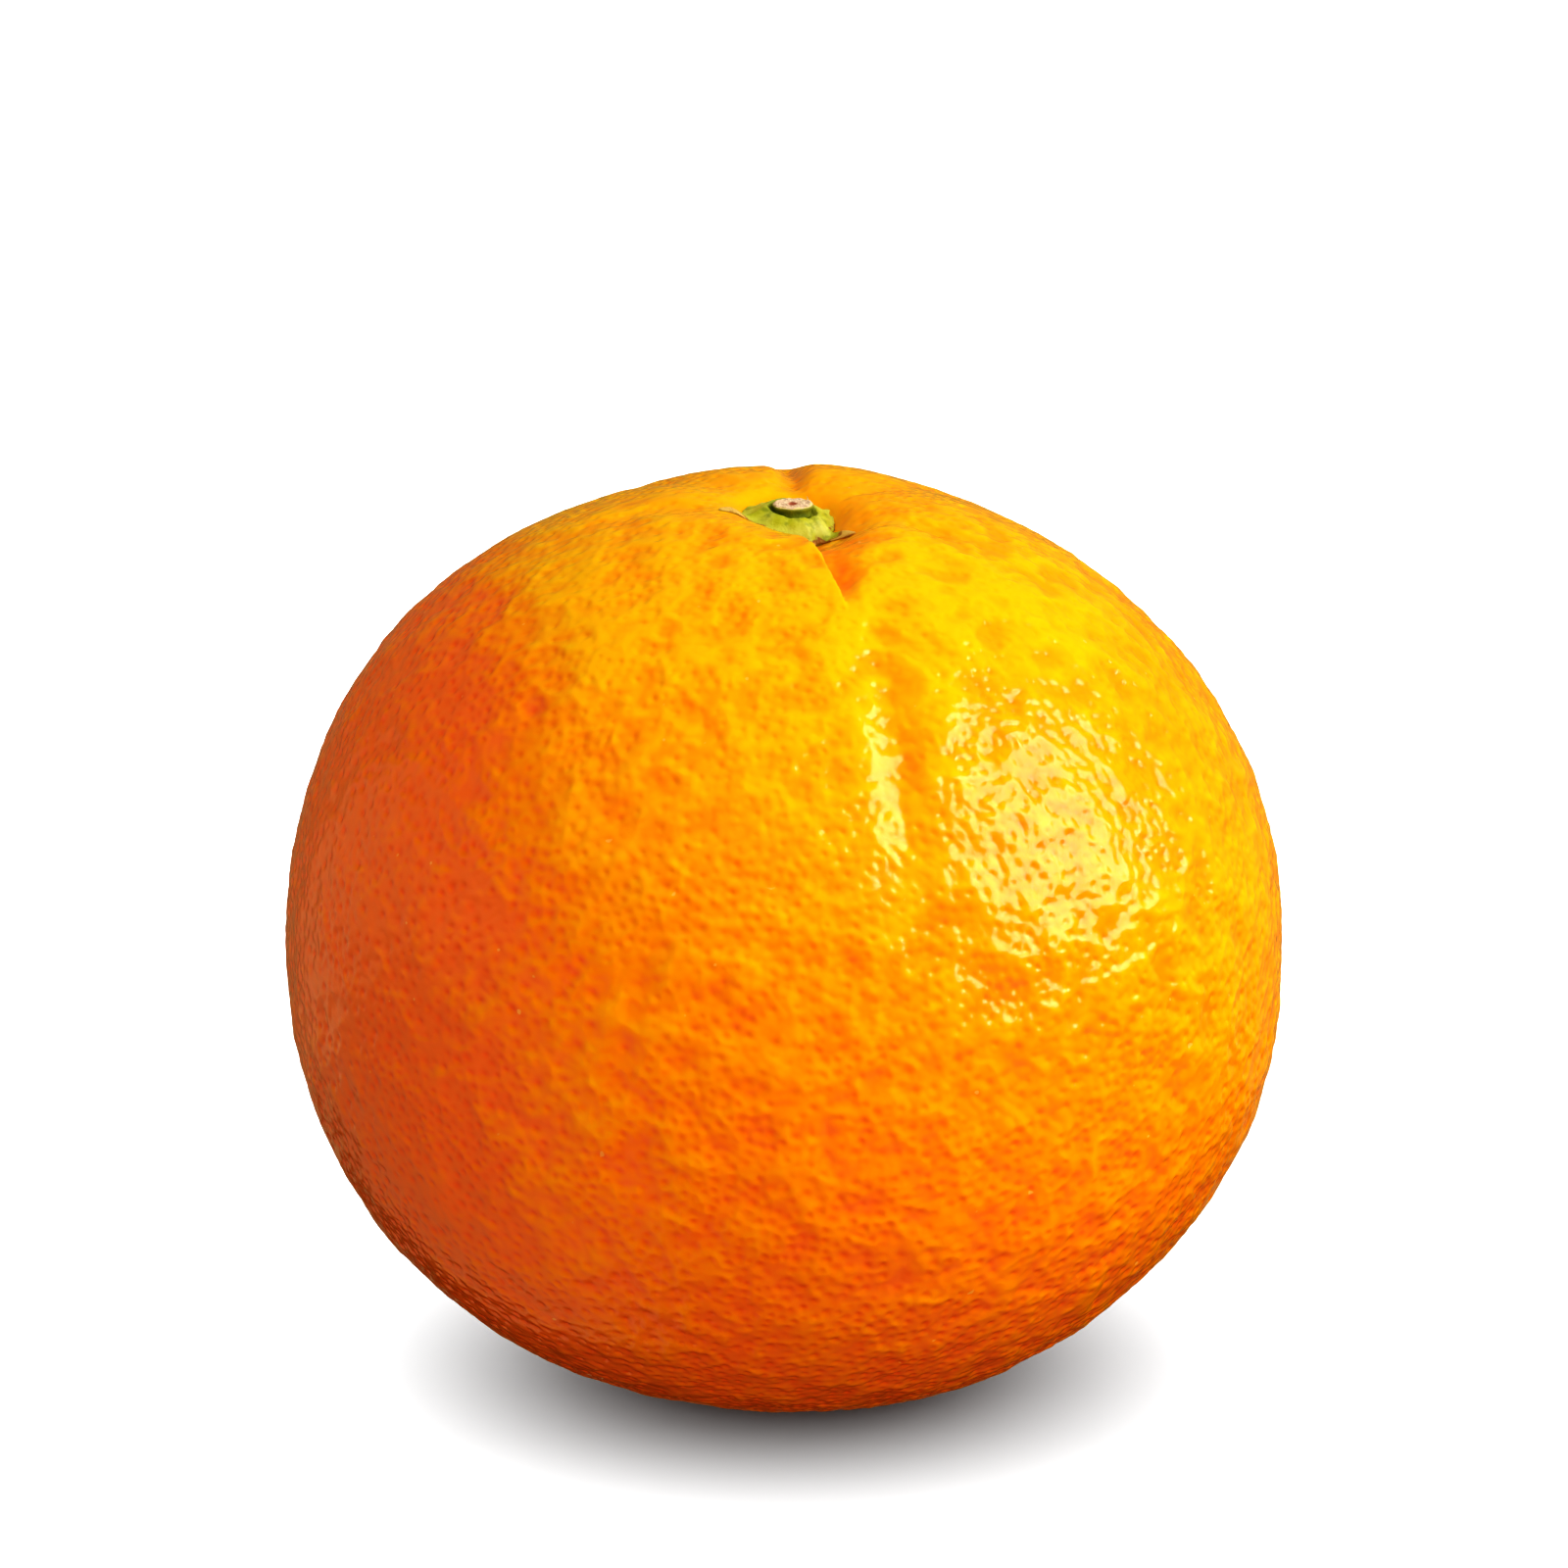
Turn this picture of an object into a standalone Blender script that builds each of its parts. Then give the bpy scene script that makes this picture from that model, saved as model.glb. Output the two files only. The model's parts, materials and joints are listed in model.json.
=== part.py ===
"""An orange as picked: one solid fruit, the calyx button in its dimple and the cut stub of its stem.

Metres, +Z up. The fruit stands on the flat spot it has worn underneath, whose centre is the origin.
Its stem end is up and its front, with the deep fold beside the button, faces -Y.
Directions on the fruit are a polar angle down from the stem end and an azimuth from +X towards +Y,
both in degrees, as on a globe.
"""

import math

import bmesh
import bpy

MM = 0.001

# The fruit's body: a slightly squared oval, a little flatter above its middle than below.
HALF_WIDTH = 40.0 * MM
HEIGHT_ABOVE_MIDDLE = 37.6 * MM
DEPTH_BELOW_MIDDLE = 36.8 * MM
SQUARENESS = 2.1
FLAT_SPOT_CUT = 0.9 * MM
MIDDLE_Z = DEPTH_BELOW_MIDDLE - FLAT_SPOT_CUT

# The dimple that the button sits in, and the steeper seat at its bottom. Both are a little off centre.
STEM_X = 0.7 * MM
DIMPLE_DEPTH = 2.2 * MM
DIMPLE_SPREAD = 8.5
SEAT_DEPTH = 1.7 * MM
SEAT_SPREAD = 6.0

# Swellings and hollows of the body: azimuth, polar angle, height and spread in degrees.
SWELLINGS = (
    (165, 50, 0.6 * MM, 22),
    (-35, 150, 0.45 * MM, 18),
    (-8, 111, 0.35 * MM, 14),
    (20, 45, -0.35 * MM, 18),
    (70, 21, 0.5 * MM, 8),
    (108, 22, 0.3 * MM, 8),
    (95, 80, 0.5 * MM, 30),
    (-130, 120, 0.3 * MM, 25),
    (-75, 8.5, -0.8 * MM, 5),
    (-38, 9, -0.9 * MM, 5),
)

# Creases that run down from the button: polar angle and azimuth at each end, depth, half widths on the
# left and the right at the start, and the share of its width that the crease keeps at its end. The first
# is the deep fold, steep on its left and gentle on its right. The second is the long groove below it.
CREASES = (
    (3.5, -71.5, 31, -74, 1.4 * MM, 1.0 * MM, 4.5 * MM, 0.15),
    (25, -70, 74, -76, 0.6 * MM, 2.5 * MM, 2.3 * MM, 0.8),
    (5, 82, 27, 91, 0.9 * MM, 1.5 * MM, 1.8 * MM, 0.5),
    (6, -32, 26, -14, 0.4 * MM, 2.0 * MM, 2.0 * MM, 0.6),
    (6, -168, 24, -178, 0.3 * MM, 2.4 * MM, 2.4 * MM, 0.6),
    (6, 140, 30, 132, 0.35 * MM, 2.2 * MM, 2.2 * MM, 0.5),
    (6, 30, 28, 38, 0.2 * MM, 2.8 * MM, 2.8 * MM, 0.6),
)
CREASE_FADE = 0.3
THINNEST_CREASE = 0.4 * MM

# The button: five sepals grown together into a dome round the stem, thin and dry at their tips. The disc
# and the dome reach a little further to the left than to the right.
PIECE_GAP = 0.3 * MM
BUTTON_RADIUS = 3.7 * MM
BUTTON_EDGE = 0.3 * MM
SEPALS = (
    (-163, 6.2 * MM),
    (-68, 4.2 * MM),
    (-36, 6.1 * MM),
    (40, 3.7 * MM),
    (112, 3.95 * MM),
)
SEPAL_SPREAD = 10
LEFT_REACH = 0.35 * MM
DOME_FOOT_RADIUS = 4.0 * MM
CREST_RADIUS = 2.1 * MM
CREST_Z = MIDDLE_Z + 36.22 * MM
CREST_LEAN = 0.33 * MM
CREST_LEAN_AZIMUTH = 150
HOLLOW_TOP_Z = MIDDLE_Z + 35.65 * MM

# The stub: the end of the stem, cut across and a little spread at the cut.
STUB_FOOT_Z = HOLLOW_TOP_Z + PIECE_GAP
STUB_PROFILE = (
    (0.0, 0.68 * MM),
    (0.9 * MM, 0.72 * MM),
    (1.45 * MM, 0.7 * MM),
    (1.64 * MM, 0.6 * MM),
    (1.63 * MM, 0.46 * MM),
    (1.47 * MM, 0.22 * MM),
    (1.45 * MM, 0.0),
    (0.0, 0.0),
)

FRUIT_SEGMENTS = 72
FRUIT_RINGS = 48
RING_BUNCHING = 0.65
BUTTON_SEGMENTS = 60
BUTTON_RINGS = 14
STUB_SEGMENTS = 32


def eased(share):
    """0 to 1 with level ends, for fading a crease in and out."""
    share = min(max(share, 0.0), 1.0)
    return share * share * (3 - 2 * share)


def turn_between(azimuth, other):
    """The signed angle from one azimuth to another, in degrees from -180 to 180."""
    return (azimuth - other + 180) % 360 - 180


def direction(polar, azimuth):
    """The unit vector from the fruit's middle towards a place on the globe."""
    polar, azimuth = math.radians(polar), math.radians(azimuth)
    flat = math.sin(polar)
    return flat * math.cos(azimuth), flat * math.sin(azimuth), math.cos(polar)


def angle_between(one, other):
    dot = sum(a * b for a, b in zip(one, other))
    return math.degrees(math.acos(min(max(dot, -1.0), 1.0)))


def body_radius(toward):
    """The squared oval's radius in a direction."""
    half_height = HEIGHT_ABOVE_MIDDLE if toward[2] > 0 else DEPTH_BELOW_MIDDLE
    across = math.hypot(toward[0], toward[1]) / HALF_WIDTH
    upright = abs(toward[2]) / half_height
    return (across**SQUARENESS + upright**SQUARENESS) ** (-1 / SQUARENESS)


def crease_depth(crease, polar, azimuth, radius):
    """How deep one crease is at a place on the fruit."""
    start_polar, start_azimuth, end_polar, end_azimuth, depth, left, right, kept = crease
    along = (polar - start_polar) / (end_polar - start_polar)
    line = start_azimuth + (end_azimuth - start_azimuth) * along
    aside = math.radians(turn_between(azimuth, line)) * math.sin(math.radians(polar)) * radius
    width = (left if aside < 0 else right) * (1 - (1 - kept) * along)
    fade = eased(along / CREASE_FADE) * eased((1 - along) / CREASE_FADE)
    return depth * fade * math.exp(-((aside / max(width, THINNEST_CREASE)) ** 2)) if fade else 0.0


def peel_radius(polar, azimuth):
    """The fruit's radius from its middle, before the flat spot."""
    toward = direction(polar, azimuth)
    radius = body_radius(toward)
    for at_azimuth, at_polar, height, spread in SWELLINGS:
        away = angle_between(toward, direction(at_polar, at_azimuth))
        radius += height * math.exp(-((away / spread) ** 2))
    from_stem = angle_between(toward, direction(math.degrees(STEM_X / HEIGHT_ABOVE_MIDDLE), 0))
    radius -= DIMPLE_DEPTH * math.exp(-((from_stem / DIMPLE_SPREAD) ** 2))
    radius -= SEAT_DEPTH * math.exp(-((from_stem / SEAT_SPREAD) ** 4))
    creases = sum(crease_depth(crease, polar, azimuth, radius) for crease in CREASES)
    return radius - creases


def peel_point(polar, azimuth):
    """A place on the fruit's skin."""
    radius = peel_radius(polar, azimuth)
    toward = direction(polar, azimuth)
    x, y, z = (radius * part for part in toward)
    return x, y, z + MIDDLE_Z


def peel_height(x, y):
    """The skin's height over a place near the stem end."""
    out = math.hypot(x, y)
    azimuth = math.degrees(math.atan2(y, x))
    polar = math.degrees(math.atan2(out, HEIGHT_ABOVE_MIDDLE))
    for _ in range(6):
        polar = math.degrees(math.asin(out / peel_radius(polar, azimuth)))
    return peel_point(polar, azimuth)[2]


def on_button(out, azimuth):
    """The place at a distance from the stem's axis."""
    turn = math.radians(azimuth)
    return STEM_X + out * math.cos(turn), out * math.sin(turn)


def bunched(polar):
    """Moves a ring's polar angle towards its pole, where the form is finest."""
    share = math.radians(polar) * 2
    return polar - math.degrees(RING_BUNCHING * math.sin(share) / 2)


def globe_angles(vertex):
    """The polar angle and azimuth of a vertex on a unit sphere."""
    polar = math.degrees(math.acos(min(max(vertex.co.z, -1.0), 1.0)))
    azimuth = math.degrees(math.atan2(vertex.co.y, vertex.co.x))
    return polar, azimuth


def cut_flat_spot(shape):
    """Cuts the fruit off level at z = 0 and closes the cut with one flat face."""
    everything = shape.verts[:] + shape.edges[:] + shape.faces[:]
    cut = bmesh.ops.bisect_plane(
        shape, geom=everything, plane_co=(0, 0, 0), plane_no=(0, 0, 1), clear_inner=True
    )
    rim = [part for part in cut["geom_cut"] if isinstance(part, bmesh.types.BMEdge)]
    bmesh.ops.contextual_create(shape, geom=rim)


def shape_fruit(mesh):
    """A globe of rings and segments, each vertex moved out to the skin."""
    shape = bmesh.new()
    bmesh.ops.create_uvsphere(
        shape, u_segments=FRUIT_SEGMENTS, v_segments=FRUIT_RINGS, radius=1.0
    )
    for vertex in shape.verts:
        polar, azimuth = globe_angles(vertex)
        vertex.co = peel_point(bunched(polar), azimuth)
    cut_flat_spot(shape)
    bmesh.ops.recalc_face_normals(shape, faces=shape.faces)
    bmesh.ops.triangulate(shape, faces=shape.faces)
    shape.to_mesh(mesh)
    shape.free()


def button_edge_radius(azimuth):
    """The button's outline: a disc with five sepal tips."""
    disc = BUTTON_RADIUS - LEFT_REACH * math.cos(math.radians(azimuth))
    radius = disc
    for at_azimuth, reach in SEPALS:
        away = turn_between(azimuth, at_azimuth)
        radius += (reach - disc) * math.exp(-((away / SEPAL_SPREAD) ** 2))
    return radius


def button_top(out, azimuth):
    """The button's upper face: thin tips, a dome and the hollow that the stem comes out of."""
    thin = peel_height(*on_button(out, azimuth)) + PIECE_GAP + BUTTON_EDGE
    crest = CREST_Z + CREST_LEAN * math.cos(math.radians(azimuth - CREST_LEAN_AZIMUTH))
    foot = DOME_FOOT_RADIUS - LEFT_REACH * math.cos(math.radians(azimuth))
    up_dome = (foot - out) / (foot - CREST_RADIUS)
    dome = math.sin(math.pi / 2 * min(max(up_dome, 0.0), 1.0))
    top = thin + (crest - thin) * dome
    stub_radius = max(radius for radius, _ in STUB_PROFILE)
    inside = eased((CREST_RADIUS - out) / (CREST_RADIUS - stub_radius))
    return top + (HOLLOW_TOP_Z - top) * inside


def shape_calyx(mesh):
    """A globe pressed flat: its lower half lies on the skin and its upper half is the rim."""
    shape = bmesh.new()
    bmesh.ops.create_uvsphere(
        shape, u_segments=BUTTON_SEGMENTS, v_segments=BUTTON_RINGS, radius=1.0
    )
    for vertex in shape.verts:
        polar, azimuth = globe_angles(vertex)
        folded = min(polar, 180 - polar) / 90
        out = button_edge_radius(azimuth) * folded
        x, y = on_button(out, azimuth)
        under = peel_height(x, y) + PIECE_GAP
        top = button_top(out, azimuth)
        middle = (under + top) / 2
        height = middle if abs(polar - 90) < 1 else top if polar < 90 else under
        vertex.co = x, y, height
    bmesh.ops.triangulate(shape, faces=shape.faces)
    shape.to_mesh(mesh)
    shape.free()


def shape_stub(mesh):
    """The stub's profile, from the middle of the cut down to the foot."""
    shape = bmesh.new()
    corners = [shape.verts.new((out, 0.0, up)) for out, up in STUB_PROFILE]
    for upper, lower in zip(corners, corners[1:]):
        shape.edges.new((upper, lower))
    shape.to_mesh(mesh)
    shape.free()


def material(name, colour, roughness):
    """A Principled material of one colour."""
    made = bpy.data.materials.new(name)
    made.use_nodes = True
    shader = made.node_tree.nodes["Principled BSDF"]
    shader.inputs["Base Color"].default_value = (*colour, 1.0)
    shader.inputs["Roughness"].default_value = roughness
    shader.inputs["Metallic"].default_value = 0.0
    return made


def add_piece(name, shape, finish, collection):
    """One named object with its own mesh and material."""
    mesh = bpy.data.meshes.new(name)
    shape(mesh)
    mesh.materials.append(finish)
    piece = bpy.data.objects.new(name, mesh)
    collection.objects.link(piece)
    return piece


def turn_round(piece, segments):
    """Turns a profile about the Z axis into a closed solid."""
    screw = piece.modifiers.new("turned", "SCREW")
    screw.axis = "Z"
    screw.steps = segments
    screw.render_steps = segments
    screw.use_merge_vertices = True
    screw.merge_threshold = 0.00001
    screw.use_normal_calculate = True


def smooth(piece):
    """Shades a mesh's own faces smooth."""
    for face in piece.data.polygons:
        face.use_smooth = True


def main():
    for old in list(bpy.data.objects):
        bpy.data.objects.remove(old, do_unlink=True)
    orange = bpy.data.collections.new("orange")
    bpy.context.scene.collection.children.link(orange)

    peel = material("peel", (0.9, 0.28, 0.01), 0.4)
    sepal_green = material("sepal_green", (0.36, 0.4, 0.06), 0.6)
    cut_stem = material("cut_stem", (0.5, 0.42, 0.25), 0.8)

    fruit = add_piece("fruit", shape_fruit, peel, orange)
    calyx = add_piece("calyx", shape_calyx, sepal_green, orange)
    stub = add_piece("stem_stub", shape_stub, cut_stem, orange)
    stub.location = STEM_X, 0.0, STUB_FOOT_Z
    turn_round(stub, STUB_SEGMENTS)
    smooth(fruit)
    smooth(calyx)


main()
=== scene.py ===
# %% [markdown]
# # A whole orange, from its skin inwards
#
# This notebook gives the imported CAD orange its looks. The CAD model holds three solids: the fruit, the
# green button at its stem end and the cut stub of the stem. They have the right sizes, but their skins are
# plain. Here each one is modelled again with the detail that an eye looks for: swellings and folds, a
# pebbled skin, thousands of small oil glands, a button of five grown-together sepals and a rough cut.
#
# The frame is loaded first, and everything after it takes its place and size from the frame.

import itertools
import json
import math

import bmesh
import bpy
import numpy as np
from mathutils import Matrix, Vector
from mathutils.kdtree import KDTree

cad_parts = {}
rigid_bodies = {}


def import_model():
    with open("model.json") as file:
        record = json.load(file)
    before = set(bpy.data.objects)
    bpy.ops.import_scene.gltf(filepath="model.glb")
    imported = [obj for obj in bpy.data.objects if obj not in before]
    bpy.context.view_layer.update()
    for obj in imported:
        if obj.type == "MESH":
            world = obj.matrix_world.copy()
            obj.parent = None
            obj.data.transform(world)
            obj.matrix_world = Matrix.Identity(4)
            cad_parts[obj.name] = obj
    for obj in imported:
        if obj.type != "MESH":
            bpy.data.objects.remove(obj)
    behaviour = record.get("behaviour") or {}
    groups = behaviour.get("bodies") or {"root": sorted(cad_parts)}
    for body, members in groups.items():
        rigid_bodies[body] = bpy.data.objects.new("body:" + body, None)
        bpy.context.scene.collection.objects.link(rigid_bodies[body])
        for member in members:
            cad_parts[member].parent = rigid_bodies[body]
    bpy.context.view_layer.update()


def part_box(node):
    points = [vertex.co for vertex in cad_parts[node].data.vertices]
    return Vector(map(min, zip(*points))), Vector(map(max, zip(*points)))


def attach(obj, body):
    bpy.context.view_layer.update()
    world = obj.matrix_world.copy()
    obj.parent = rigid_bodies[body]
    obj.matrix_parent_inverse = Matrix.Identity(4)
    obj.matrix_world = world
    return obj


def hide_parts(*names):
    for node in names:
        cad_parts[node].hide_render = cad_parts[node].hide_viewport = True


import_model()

fruit_low, fruit_high = (np.array(corner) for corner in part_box("fruit"))
stub_low, stub_high = (np.array(corner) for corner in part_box("stem_stub"))
mm = (fruit_high[0] - fruit_low[0]) / 80.0
stem_x = (stub_low[0] + stub_high[0]) / 2
print("fruit is", np.round((fruit_high - fruit_low) * 1000, 1), "mm")

# %% [markdown]
# ## The body
#
# An orange is not a ball. It is a little wider than it is high, a little squarer than an oval, and it
# swells and sags where the segments inside pushed it. One way to make it is to sculpt. Another, used here,
# is to write the distance from the middle to the skin as a formula of direction. The same formula can then
# place the skin, the button that lies on it and the creases, so that the pieces meet exactly.
#
# Directions are given as on a globe: a polar angle down from the stem end and an azimuth from +X to +Y.

# %% The squared oval
half_width = 40.0 * mm
height_above = 37.6 * mm
depth_below = 36.8 * mm
squareness = 2.1
middle = np.array([0.0, 0.0, 35.9 * mm])


def toward(polar, azimuth):
    """Unit vectors from the fruit's middle, for angles in degrees."""
    polar, azimuth = np.radians(polar), np.radians(azimuth)
    flat = np.sin(polar)
    return np.stack([flat * np.cos(azimuth), flat * np.sin(azimuth), np.cos(polar)], axis=-1)


def angles_of(ways):
    """Polar angle and azimuth, in degrees, of unit vectors."""
    polar = np.degrees(np.arccos(np.clip(ways[..., 2], -1, 1)))
    azimuth = np.degrees(np.arctan2(ways[..., 1], ways[..., 0]))
    return polar, azimuth


def oval_radius(ways):
    """The smooth body's radius."""
    half_height = np.where(ways[..., 2] > 0, height_above, depth_below)
    across = np.hypot(ways[..., 0], ways[..., 1]) / half_width
    upright = np.abs(ways[..., 2]) / half_height
    return (across**squareness + upright**squareness) ** (-1 / squareness)


print("oval is", round(half_width * 2000, 1), "mm wide")

# %% [markdown]
# ## Swellings, the dimple and the creases
#
# Broad swellings are soft hills added to the radius. Round the stem the flesh has grown up past the
# button, which leaves a dimple. From the dimple, creases run down between the lobes like the pleats of a
# drawn purse. The deepest is the fold at the front right: its left lobe has grown over its right one, so
# the fold is steep on one side and gentle on the other. From it a long shallow groove runs down the face.
# Each crease could be cut with a sculpting brush. As a formula, it stays a few numbers that are easy to
# change: where it starts and ends, how deep it is, and how wide on its left and on its right.

# %% Hills and hollows
swellings = (
    # azimuth, polar angle, height in mm, spread in degrees
    (165, 50, 0.6, 22),
    (-35, 150, 0.45, 18),
    (-8, 111, 0.35, 14),
    (20, 45, -0.35, 18),
    (70, 21, 0.5, 8),
    (108, 22, 0.3, 8),
    (95, 80, 0.5, 30),
    (-130, 120, 0.3, 25),
    (-75, 8.5, -0.8, 5),
    (-38, 9, -0.9, 5),
)
dimple_depth, dimple_spread = 2.2 * mm, 8.5
seat_depth, seat_spread = 1.7 * mm, 6.0


def eased(share):
    """From 0 to 1 with level ends."""
    share = np.clip(share, 0, 1)
    return share * share * (3 - 2 * share)


def turn_between(azimuth, other):
    """The signed angle between two azimuths."""
    return (azimuth - other + 180) % 360 - 180


def swollen_radius(ways):
    """The oval with its swellings, the dimple and the button's seat."""
    radius = oval_radius(ways)
    for at_azimuth, at_polar, height, spread in swellings:
        away = np.degrees(np.arccos(np.clip(ways @ toward(at_polar, at_azimuth), -1, 1)))
        radius = radius + height * mm * np.exp(-((away / spread) ** 2))
    stem_way = toward(np.degrees(stem_x / height_above), 0)
    from_stem = np.degrees(np.arccos(np.clip(ways @ stem_way, -1, 1)))
    radius = radius - dimple_depth * np.exp(-((from_stem / dimple_spread) ** 2))
    return radius - seat_depth * np.exp(-((from_stem / seat_spread) ** 4))


print("dimple and seat:", round((dimple_depth + seat_depth) * 1000, 1), "mm deep")

# %% Creases between the lobes
creases = (
    # start polar and azimuth, end polar and azimuth, depth, half widths left and right at the start in mm,
    # and the share of its width that it keeps at its end
    (3.5, -72.5, 31, -75, 1.5, 0.65, 4.6, 0.1),
    (25, -70, 74, -76, 0.65, 2.4, 2.3, 0.8),
    (5, 82, 27, 91, 0.9, 1.4, 1.7, 0.5),
    (6, -32, 26, -14, 0.4, 2.0, 2.0, 0.6),
    (6, -168, 24, -178, 0.3, 2.4, 2.4, 0.6),
    (6, 140, 30, 132, 0.35, 2.2, 2.2, 0.5),
    (6, 30, 28, 38, 0.2, 2.8, 2.8, 0.6),
)
crease_fade = 0.3


def crease_depth(polar, azimuth, radius):
    """How far all the creases pull the skin in."""
    total = np.zeros_like(polar)
    for start, start_azimuth, end, end_azimuth, depth, left, right, kept in creases:
        along = (polar - start) / (end - start)
        line = start_azimuth + (end_azimuth - start_azimuth) * along
        aside = np.radians(turn_between(azimuth, line)) * np.sin(np.radians(polar)) * radius
        width = np.where(aside < 0, left, right) * mm * (1 - (1 - kept) * along)
        fade = eased(along / crease_fade) * eased((1 - along) / crease_fade)
        total += depth * mm * fade * np.exp(-((aside / np.maximum(width, 0.1 * mm)) ** 2))
    return total


def skin_radius(ways):
    """The whole smooth form, before pebbling and glands."""
    polar, azimuth = angles_of(ways)
    radius = swollen_radius(ways)
    return radius - crease_depth(polar, azimuth, radius)


print("creases:", len(creases), "swellings:", len(swellings))

# %% [markdown]
# ## A fine net to carry the skin
#
# A UV sphere crowds its faces at the poles, just where the dimple and its creases are. A cube blown up into
# a ball has even faces everywhere, so it carries small detail equally well on every side. The cube starts
# with nine squares a side. A simple subdivision cuts each one again and again, and the tangent warp
# spreads the squares evenly over the ball.

# %% Blow a cube up into a ball
cuts = 7


def fine_cube():
    """A cube of evenly cut squares, as a mesh."""
    cube = bmesh.new()
    bmesh.ops.create_cube(cube, size=2.0)
    bmesh.ops.subdivide_edges(cube, edges=cube.edges, cuts=2, use_grid_fill=True)
    coarse = bpy.data.meshes.new("coarse_cube")
    cube.to_mesh(coarse)
    cube.free()
    holder = bpy.data.objects.new("coarse_cube", coarse)
    bpy.context.scene.collection.objects.link(holder)
    finer = holder.modifiers.new("finer", "SUBSURF")
    finer.subdivision_type = "SIMPLE"
    finer.levels = cuts
    finer.render_levels = cuts
    graph = bpy.context.evaluated_depsgraph_get()
    mesh = bpy.data.meshes.new_from_object(holder.evaluated_get(graph))
    bpy.data.objects.remove(holder)
    bpy.data.meshes.remove(coarse)
    return mesh


def places_of(mesh):
    """The vertices' places, one row each."""
    places = np.empty(len(mesh.vertices) * 3, np.float32)
    mesh.vertices.foreach_get("co", places)
    return places.reshape(-1, 3).astype(float)


peel_mesh = fine_cube()
on_cube = places_of(peel_mesh)
warped = np.tan(on_cube * math.pi / 4)
ways = warped / np.linalg.norm(warped, axis=1, keepdims=True)
print("peel net:", len(peel_mesh.polygons), "faces")

# %% [markdown]
# ## Flatten the cube's faces into a picture
#
# A finish may later be baked into a picture, and for that each spot of skin needs its own place on it. An
# unwrap by Blender's own tools would cut such a fine ball badly. The cube already is a good unwrap: its six
# faces are laid out in two rows of three, before the ball loses them.

# %% Lay the six faces out
columns, rows = 3, 2
border = 0.01


def lay_out_cube(mesh, on_cube):
    """Gives each face of the cube its own cell of the picture."""
    corners = np.empty(len(mesh.loops), np.int32)
    mesh.loops.foreach_get("vertex_index", corners)
    squares = on_cube[corners].reshape(-1, 4, 3)
    centres = squares.mean(axis=1)
    axis = np.abs(centres).argmax(axis=1)
    side = (np.take_along_axis(centres, axis[:, None], axis=1)[:, 0] > 0).astype(int)
    across = np.take_along_axis(squares, ((axis + 1) % 3)[:, None, None], axis=2)[:, :, 0]
    upward = np.take_along_axis(squares, ((axis + 2) % 3)[:, None, None], axis=2)[:, :, 0]
    flip = np.where(side == 1, 1, -1)[:, None]
    u = (axis[:, None] + border + (across * flip + 1) / 2 * (1 - 2 * border)) / columns
    v = (side[:, None] + border + (upward + 1) / 2 * (1 - 2 * border)) / rows
    layout = mesh.uv_layers.new(name="OFBake")
    layout.uv.foreach_set("vector", np.stack([u, v], axis=2).astype(np.float32).ravel())


lay_out_cube(peel_mesh, on_cube)
print("cells:", columns * rows)

# %% [markdown]
# ## Pebbling
#
# Under the skin the glands and the pith push unevenly, so the surface rolls in hills of one to four
# millimetres across and a tenth of a millimetre high. In side light they are what an eye sees first.
# Blender's Displace modifier could do this with a cloud texture. A small noise function does the same and
# can be bent: where its sign is dropped, its slopes meet in a crease. Turned one way that gives round
# ridges, and turned the other way thin valleys between knobs. Close to the stem the noise is drawn out
# into wrinkles that point at the button.
#
# No orange is equally rough all over. This one is roughest at its front and calmer round the button.

# %% Smooth random hills
def hills(points, size, seed):
    """Gradient noise from about -1 to 1, with hills of the given size."""
    random = np.random.default_rng(seed)
    slopes = random.normal(size=(256, 3))
    slopes /= np.linalg.norm(slopes, axis=1, keepdims=True)
    shuffled = random.permutation(256)
    scaled = points / size
    cell = np.floor(scaled).astype(int)
    inside = scaled - cell
    ease = inside**3 * (inside * (inside * 6 - 15) + 10)
    total = np.zeros(len(points))
    for corner in itertools.product((0, 1), repeat=3):
        at = (cell + corner) & 255
        pick = shuffled[(shuffled[(shuffled[at[:, 0]] + at[:, 1]) & 255] + at[:, 2]) & 255]
        lean = ((inside - corner) * slopes[pick]).sum(axis=1)
        share = np.where(corner, ease, 1 - ease).prod(axis=1)
        total += lean * share
    # on its own this noise reaches only about 0.6 either way
    return total * 1.6


polar, azimuth = angles_of(ways)
smooth_radius = skin_radius(ways)
# the noise is made in rows of cubes; turned askew, the rows cannot show as lines on the fruit
askew = np.array([[2, -2, 1], [2, 1, -2], [1, 2, 2]]) / 3
smooth_points = ways * smooth_radius[:, None] @ askew
rolls = 0.17 * hills(smooth_points, 4.2 * mm, 1)
knobs = 0.07 * hills(smooth_points, 2.1 * mm, 2)
print("rolls reach", round(float(np.abs(rolls).max()), 3), "mm")

# %% Ridges, valleys and wrinkles
softness = 0.06
usual_height = 0.3


def folded(points, size, seed):
    """Noise with its sign dropped: broad hills that meet in thin valleys."""
    return np.sqrt(hills(points, size, seed) ** 2 + softness**2) - usual_height


ridges = -0.17 * folded(smooth_points, 3.0 * mm, 6)
valleys = 0.08 * folded(smooth_points, 1.35 * mm, 3)
grain = 0.010 * hills(smooth_points, 0.6 * mm, 5)

stem_end = np.exp(-((polar / 24) ** 4)) * eased((polar - 7) / 6)
round_stem = toward(np.full_like(polar, 90.0), azimuth) * 14 * mm
round_stem[:, 2] = np.radians(polar) * half_width / 3
wrinkles = 0.10 * hills(round_stem, 2.2 * mm, 4) * stem_end

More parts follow.
